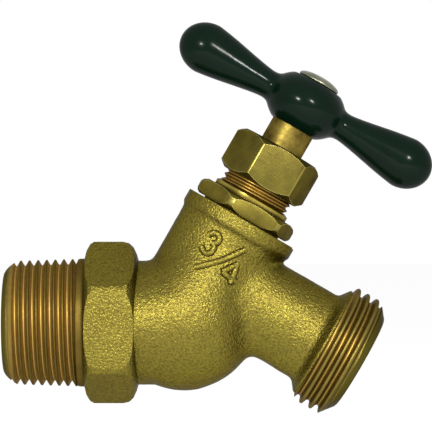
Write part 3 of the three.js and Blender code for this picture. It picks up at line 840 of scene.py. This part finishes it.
def make_outlet_thread():
    """The hose thread with its rounded crests, run out on the flare, and a long chamfer at its end."""
    outline = round_thread(OUTLET_CREST, depth=1.4)
    piece = screw_thread(outline, OUTLET_PITCH, FLARE_START + 0.6, OUTLET_END, crest_at=28.15)
    rim = [(9.9, FLARE_START + 0.5), (11.8, FLARE_START + 1.9), (OUTLET_CREST + 0.2, FLARE_START + 3.0)]
    rim += [(OUTLET_CREST + 0.2, OUTLET_END - 2.6), (12.8, OUTLET_END - 1.8), (11.5, OUTLET_END - 0.8)]
    rim += [(10.7, OUTLET_END - 0.15), (10.35, OUTLET_END)]
    boolean(piece, turned(rim), "INTERSECT")
    boolean(piece, bar(OUTLET_BORE, 0, OUTLET_END + 1, 64), "DIFFERENCE")
    named(place_mesh(piece, OUTLET_LINE), "outlet_thread")
    shade(piece, 35)
    give(piece, OUTLET_BRASS)
    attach(piece, FIXED)


# ---- Bonnet and packing nut ----

HEX_SHARP = math.radians(32)  # edges sharper than this are bevelled


def polish_and_highlight_corners(piece, turn, near):
    """Gives the worn finish, with its painted highlight, to the upright faces of a hexagon that are turned away from
    its six flats.

    Faces nearer than a radius to the axis, which line its holes, are passed by.
    """
    for face in piece.data.polygons:
        heading = math.degrees(math.atan2(face.normal.y, face.normal.x) - turn) + 90
        off_flat = abs((heading + 30) % 60 - 30)
        upright = abs(face.normal.z) < 0.1
        if off_flat > 5 and upright and math.hypot(face.center.x, face.center.y) > near * MM:
            face.material_index = CORNER_SLOT


def make_bonnet():
    """A thin hex over a screwed spigot, a bright shoulder and the thread that carries the packing nut."""
    bottom, hex_low, hex_top, shoulder_top, top = 7.8, 14.3, 17.8, 19.25, 26.4
    spigot, stuffing_box, stuffing_floor = 8.9, 6.2, 20.2
    stem_well, well_top = 6.4, 17.6  # room for the thread of the stem
    hexagon = hex_bar(BONNET_FLATS, hex_low, hex_top, BONNET_TURN, edge_round=0.75, segments=1)
    edge = BONNET_FLATS / math.sqrt(3) - 0.35
    outline = [(10.4, hex_low), (11.1, hex_low + 0.5), (edge, hex_low + 1.0), (edge, hex_top - 1.1)]
    outline += [(10.9, hex_top - 0.5), (10.0, hex_top)]
    boolean(hexagon, turned(outline), "INTERSECT")
    boolean(hexagon, bar(spigot, bottom, hex_low + 1), "UNION")
    boolean(hexagon, bar(stuffing_box, stuffing_floor, top + 1, 64), "DIFFERENCE")
    boolean(hexagon, bar(stem_well, bottom - 1, well_top, 64), "DIFFERENCE")
    boolean(hexagon, bar(STEM_HOLE, 10, top, 64), "DIFFERENCE")
    give(hexagon, BONNET_BRASS, WORN_HIGHLIT_EDGE, WORN_HIGHLIT_CORNER)
    polish_and_highlight_corners(hexagon, BONNET_TURN, near=9.5)
    apply_modifier(hexagon, "BEVEL", width=0.16 * MM, segments=2, limit_method="ANGLE", angle_limit=HEX_SHARP,
                   material=EDGE_SLOT)
    named(place_mesh(hexagon, STEM_LINE), "bonnet_hex")
    shade(hexagon, 30)
    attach(hexagon, FIXED)
    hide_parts("bonnet")

    low = hex_top - 0.5
    outline = [(stem_well, low), (8.2, low), (8.5, hex_top + 0.1), (8.5, hex_top + 1.0), (7.7, shoulder_top)]
    shoulder = turned(outline + [(stem_well, shoulder_top), (stem_well, low)])
    named(place_mesh(shoulder, STEM_LINE), "bonnet_shoulder")
    shade(shoulder, 30)
    give(shoulder, SHOULDER_BRASS)
    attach(shoulder, FIXED)

    outline = v_thread(7.75, depth=0.6, crest_flat=0.12, root_flat=0.12)
    thread = screw_thread(outline, BONNET_PITCH, shoulder_top - 0.4, top, crest_at=19.95)
    ends = [(7.2, shoulder_top - 1), (8.2, shoulder_top), (8.2, top - 0.7), (7.2, top + 0.3)]
    boolean(thread, turned(ends), "INTERSECT")
    boolean(thread, bar(stuffing_box + 0.05, shoulder_top - 2, top + 1, 64), "DIFFERENCE")
    named(place_mesh(thread, STEM_LINE), "bonnet_thread")
    shade(thread, 35)
    give(thread, BONNET_THREAD_BRASS)
    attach(thread, FIXED)


def make_packing_nut():
    """The hexagonal nut on the bonnet's thread, its corners cut back, its edges and corners worn and given a painted
    highlight.
    """
    low, top, cup, cup_top = 21.7, 31.0, 7.95, 28.6
    nut = hex_bar(NUT_FLATS, low, top, NUT_TURN, edge_round=0.22)
    edge = NUT_FLATS / math.sqrt(3) - 0.12
    outline = [(8.5, low), (9.2, low + 0.55), (edge, low + 1.15)]
    outline += [(edge, top - 1.25), (9.2, top - 0.55), (8.35, top)]
    boolean(nut, turned(outline), "INTERSECT")
    boolean(nut, bar(cup, low - 1, cup_top, 64), "DIFFERENCE")
    boolean(nut, bar(STEM_HOLE, low, top + 1, 64), "DIFFERENCE")
    give(nut, HEX_BRASS, WORN_HIGHLIT_EDGE, WORN_HIGHLIT_CORNER)
    polish_and_highlight_corners(nut, NUT_TURN, near=8.6)
    apply_modifier(nut, "BEVEL", width=0.22 * MM, segments=3, limit_method="ANGLE", angle_limit=HEX_SHARP,
                   material=EDGE_SLOT)
    named(place_mesh(nut, STEM_LINE), "packing_nut_hex")
    shade(nut, 30)
    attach(nut, FIXED)
    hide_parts("packing_nut")


# ---- Stem and handle ----


def make_stem():
    """The polished shank with its screw thread, its swivel button below and its square end above."""
    button, swivel, shank_foot, square_foot, square_top = 3.1, 2.25, 0.8, 37.3, 45.0
    profile = [(button, -1.25), (button, -0.35), (swivel, -0.35), (swivel, shank_foot)]
    shank = turned(profile + [(STEM_RADIUS, shank_foot), (STEM_RADIUS, square_foot)], 64)
    outline = v_thread(6.1, depth=1.15, crest_flat=0.3, root_flat=0.54)
    boolean(shank, screw_thread(outline, STEM_LEAD, 1.6, 9.8, crest_at=2.4, sides=64), "UNION")
    boolean(shank, block(SQUARE_SIDE, SQUARE_SIDE, 8.0, square_top - 4.0), "UNION")
    boolean(shank, bar(2.2, square_foot + 0.3, square_top + 1, 32), "DIFFERENCE")
    named(place_mesh(shank, STEM_LINE), "stem_shank")
    shade(shank, 35)
    give(shank, STEM_BRASS)
    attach(shank, TURNING)
    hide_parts("stem")


def hub_outline(radius, half_height, below, above, steps=20):
    """An ellipse's side, cut flat at a depth below its middle and at a height above it."""
    start = math.asin(-below / half_height)
    end = math.asin(above / half_height)
    points = []
    for step in range(steps + 1):
        angle = start + (end - start) * step / steps
        points.append((radius * math.cos(angle), half_height * math.sin(angle)))
    return points


def arm_radius(share):
    """The swell of an arm from its waist to its belly, nearly a straight cone."""
    return ARM_WAIST + (ARM_BELLY - ARM_WAIST) * (share - 0.03 * math.sin(2 * math.pi * share))


def arm_end(radius, place, end, steps=10):
    """A round end, from a radius at one place to a point at the end."""
    turns = [math.pi / 2 * step / steps for step in range(steps)]
    return [(radius * math.cos(turn), place + (end - place) * math.sin(turn)) for turn in turns] + [(0, end)]


def arm_outline(shrink):
    """Half of an arm from the hub out: (radius, distance), a waist, a long swell and a round end."""
    points = [(ARM_WAIST + 0.9, 5.5), (ARM_WAIST + 0.15, 7.8), (ARM_WAIST, WAIST_PLACE)]
    steps = 6
    for step in range(1, steps):
        share = step / steps
        points.append((arm_radius(share), WAIST_PLACE + (BELLY_PLACE - WAIST_PLACE) * share))
    points = [(radius - shrink, place) for radius, place in points]
    return points + arm_end(ARM_BELLY - shrink, BELLY_PLACE, ARM_END - shrink)


def arm(side, shrink=0.0):
    """One round arm along X, towards a side, or thinner all over by a shrink."""
    return place_mesh(turned(arm_outline(shrink), 48), Matrix.Rotation(side * math.pi / 2, 4, "Y"))


def flatten_arm(piece):
    """Makes an arm deeper than it is tall at its waist and shallower at its belly."""
    for vertex in piece.data.vertices:
        share = between(abs(vertex.co.x), WAIST_PLACE * MM, (BELLY_PLACE - WAIST_PLACE) * MM)
        vertex.co.y *= (WAIST_DEPTH + (BELLY_DEPTH - WAIST_DEPTH) * share) / arm_radius(share)
    return piece


def make_handle_coating():
    """The dipped skin: a squat round hub with two swelling arms that flow out of it."""
    skin = turned(hub_outline(HUB_RADIUS, HUB_HALF, HUB_BELOW, HUB_ABOVE))
    for side in (1, -1):
        boolean(skin, flatten_arm(arm(side)), "UNION")
    apply_modifier(skin, "REMESH", mode="VOXEL", voxel_size=VINYL_VOXEL * MM)

    def blend_zone(place):
        """The ring round the hub where the arms flow out of it."""
        return 5.0 * MM < math.hypot(place.x, place.y) < 13 * MM and abs(place.z) < 4.9 * MM

    soften(skin, blend_zone, 26)
    soften(skin, lambda place: True, 5)
    inside = turned(hub_outline(HUB_RADIUS - SKIN, HUB_HALF - SKIN, HUB_BELOW - 0.4, HUB_ABOVE - 0.5), 48)
    for side in (1, -1):
        boolean(inside, arm(side, SKIN), "UNION")
    boolean(skin, inside, "DIFFERENCE")
    washer_hole, shank_hole = 5.2, 5.02
    boolean(skin, bar(washer_hole, 0, 10, 64), "DIFFERENCE")
    boolean(skin, bar(shank_hole, -10, 0, 64), "DIFFERENCE")
    place_mesh(skin, Matrix.Translation((0, 0, HANDLE_LEVEL * MM)))
    named(place_mesh(skin, STEM_LINE), "dipped_handle")
    shade(skin, 45)
    give(skin, VINYL)
    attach(skin, TURNING)
    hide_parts("handle_coating")


def make_handle_screw():
    """A broad domed head with a slot, over its shank."""
    seat_level = HANDLE_LEVEL + 5.3
    shank, foot, radius, rise, lip = 1.9, 38.6, 4.6, 1.6, 0.3
    head = [(shank, foot), (shank, seat_level), (radius - 0.15, seat_level), (radius, seat_level + 0.12)]
    steps = 9
    for step in range(steps):
        angle = math.pi / 2 * step / steps
        head.append((radius * math.cos(angle), seat_level + lip + (rise - lip) * math.sin(angle)))
    head.append((0, seat_level + rise))
    screw = turned(head, 64)
    boolean(screw, block(20, 1.1, 1.8, seat_level + rise), "DIFFERENCE")
    apply_modifier(screw, "BEVEL", width=0.09 * MM, segments=2, limit_method="ANGLE", angle_limit=math.radians(40))
    named(place_mesh(screw, STEM_LINE), "domed_screw")
    shade(screw, 35)
    give(screw, NICKEL)
    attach(screw, TURNING)
    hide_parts("handle_screw")


def make_handle_washer():
    """The thin washer under the screw's head, its rim eased on both sides."""
    hole, rim, ease, low, top = 2.3, 4.95, 0.12, HANDLE_LEVEL + 4.5, HANDLE_LEVEL + 5.0
    outline = [(hole, low), (rim - 0.15, low), (rim, low + ease)]
    outline += [(rim, top - ease), (rim - 0.15, top), (hole, top), (hole, low)]
    washer = turned(outline, 64)
    named(place_mesh(washer, STEM_LINE), "thin_washer")
    shade(washer, 35)
    give(washer, STEM_BRASS)
    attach(washer, TURNING)
    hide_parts("handle_washer")


# ---- Frame nodes that keep their shape ----


def finish_hidden_nodes():
    """Gives the pieces inside, whose shape is right as it is, their finishes."""
    finishes = {
        "bonnet_gasket": FIBRE,
        "packing_washer": HEX_BRASS,
        "packing_ring_lower": GRAPHITE,
        "packing_ring_upper": GRAPHITE,
        "packing_gland": HEX_BRASS,
        "disc_holder": STEM_BRASS,
        "seat_washer": RUBBER,
        "seat_washer_screw": STEM_BRASS,
        "handle_core": IRON,
    }
    for name, material in finishes.items():
        give(frame["nodes"][name], material)


# ---- Stage, lamps and camera ----

VIEW_CENTRE = Vector((44.6, 0, 22.5)) * MM
VIEW_WIDTH, VIEW_DISTANCE = 91.24 * MM, 560 * MM
SENSOR_WIDTH = 36
FLOOR_SIZE, FLOOR_GAP = 8, 40 * MM
FLOOR_GLOW, WORLD_FILL = 0.925, 0.05
LAMP_REACH, LAMP_SIZE, LAMP_POWER = 600 * MM, 50 * MM, 2.4
LAMP_SIDE, LAMP_RISE = math.radians(21.5), math.radians(19)


def seen_clean(tree):
    """One for rays from the eye and from mirror-like or clear surfaces, and nought for the light that falls."""
    path = tree.nodes.new("ShaderNodeLightPath")
    seen = math_node(tree, "MAXIMUM", path.outputs["Is Camera Ray"], path.outputs["Is Glossy Ray"])
    return math_node(tree, "MAXIMUM", seen, path.outputs["Is Transmission Ray"])


def make_stage():
    """A pale floor some way under the bib, which a wall pipe would hold up."""
    clear_selection()
    bpy.ops.mesh.primitive_plane_add(size=FLOOR_SIZE, location=(VIEW_CENTRE.x, 0, cad_box[0][2] - FLOOR_GAP))
    floor = bpy.context.object
    bpy.ops.object.transform_apply(location=True, rotation=True, scale=True)
    named(floor, "floor")
    material = bpy.data.materials.new("pale_floor")
    material.use_nodes = True
    tree = material.node_tree
    tree.nodes.clear()
    lit = node(tree, "ShaderNodeBsdfDiffuse", Color=(0.9, 0.9, 0.9, 1))
    strength = math_node(tree, "MULTIPLY", seen_clean(tree), FLOOR_GLOW)
    glow = node(tree, "ShaderNodeEmission", Color=(1, 1, 1, 1), Strength=strength)
    both = tree.nodes.new("ShaderNodeAddShader")
    tree.links.new(lit.outputs[0], both.inputs[0])
    tree.links.new(glow.outputs[0], both.inputs[1])
    out = tree.nodes.new("ShaderNodeOutputMaterial")
    tree.links.new(both.outputs[0], out.inputs["Surface"])
    give(floor, material)


def make_world():
    """White to the eye and in reflections; as light on the bib, only a low even fill."""
    world = bpy.data.worlds.new("studio")
    bpy.context.scene.world = world
    world.use_nodes = True
    tree = world.node_tree
    background = tree.nodes["Background"]
    level = remap(tree, seen_clean(tree), 0, 1, WORLD_FILL, 1.0)
    tree.links.new(level, background.inputs["Strength"])
    background.inputs["Color"].default_value = (1, 1, 1, 1)


def make_lamps():
    """Two small lamps to the left and right of the eye, a little above it."""
    for name, turn in (("front_lamp_left", -LAMP_SIDE), ("front_lamp_right", LAMP_SIDE)):
        level = math.cos(LAMP_RISE)
        away = Vector((math.sin(turn) * level, -math.cos(turn) * level, math.sin(LAMP_RISE)))
        clear_selection()
        bpy.ops.object.light_add(type="AREA", location=VIEW_CENTRE + away * LAMP_REACH)
        made = bpy.context.object
        made.name = name
        made.data.size = LAMP_SIZE
        made.data.energy = LAMP_POWER
        made.rotation_euler = (-away).to_track_quat("-Z", "Y").to_euler()


def make_camera():
    """A long lens square to the front."""
    bpy.ops.object.camera_add(location=VIEW_CENTRE - Vector((0, VIEW_DISTANCE, 0)), rotation=(math.pi / 2, 0, 0))
    camera = bpy.context.object
    camera.data.sensor_width = SENSOR_WIDTH
    camera.data.lens = SENSOR_WIDTH * VIEW_DISTANCE / VIEW_WIDTH
    camera.data.clip_start = 10 * MM
    bpy.context.scene.camera = camera
    bpy.context.scene.view_settings.view_transform = "Standard"


make_numerals(make_casting())
make_inlet_thread()
make_outlet_thread()
make_bonnet()
make_packing_nut()
make_stem()
make_handle_coating()
make_handle_screw()
make_handle_washer()
finish_hidden_nodes()
make_stage()
make_world()
make_lamps()
make_camera()
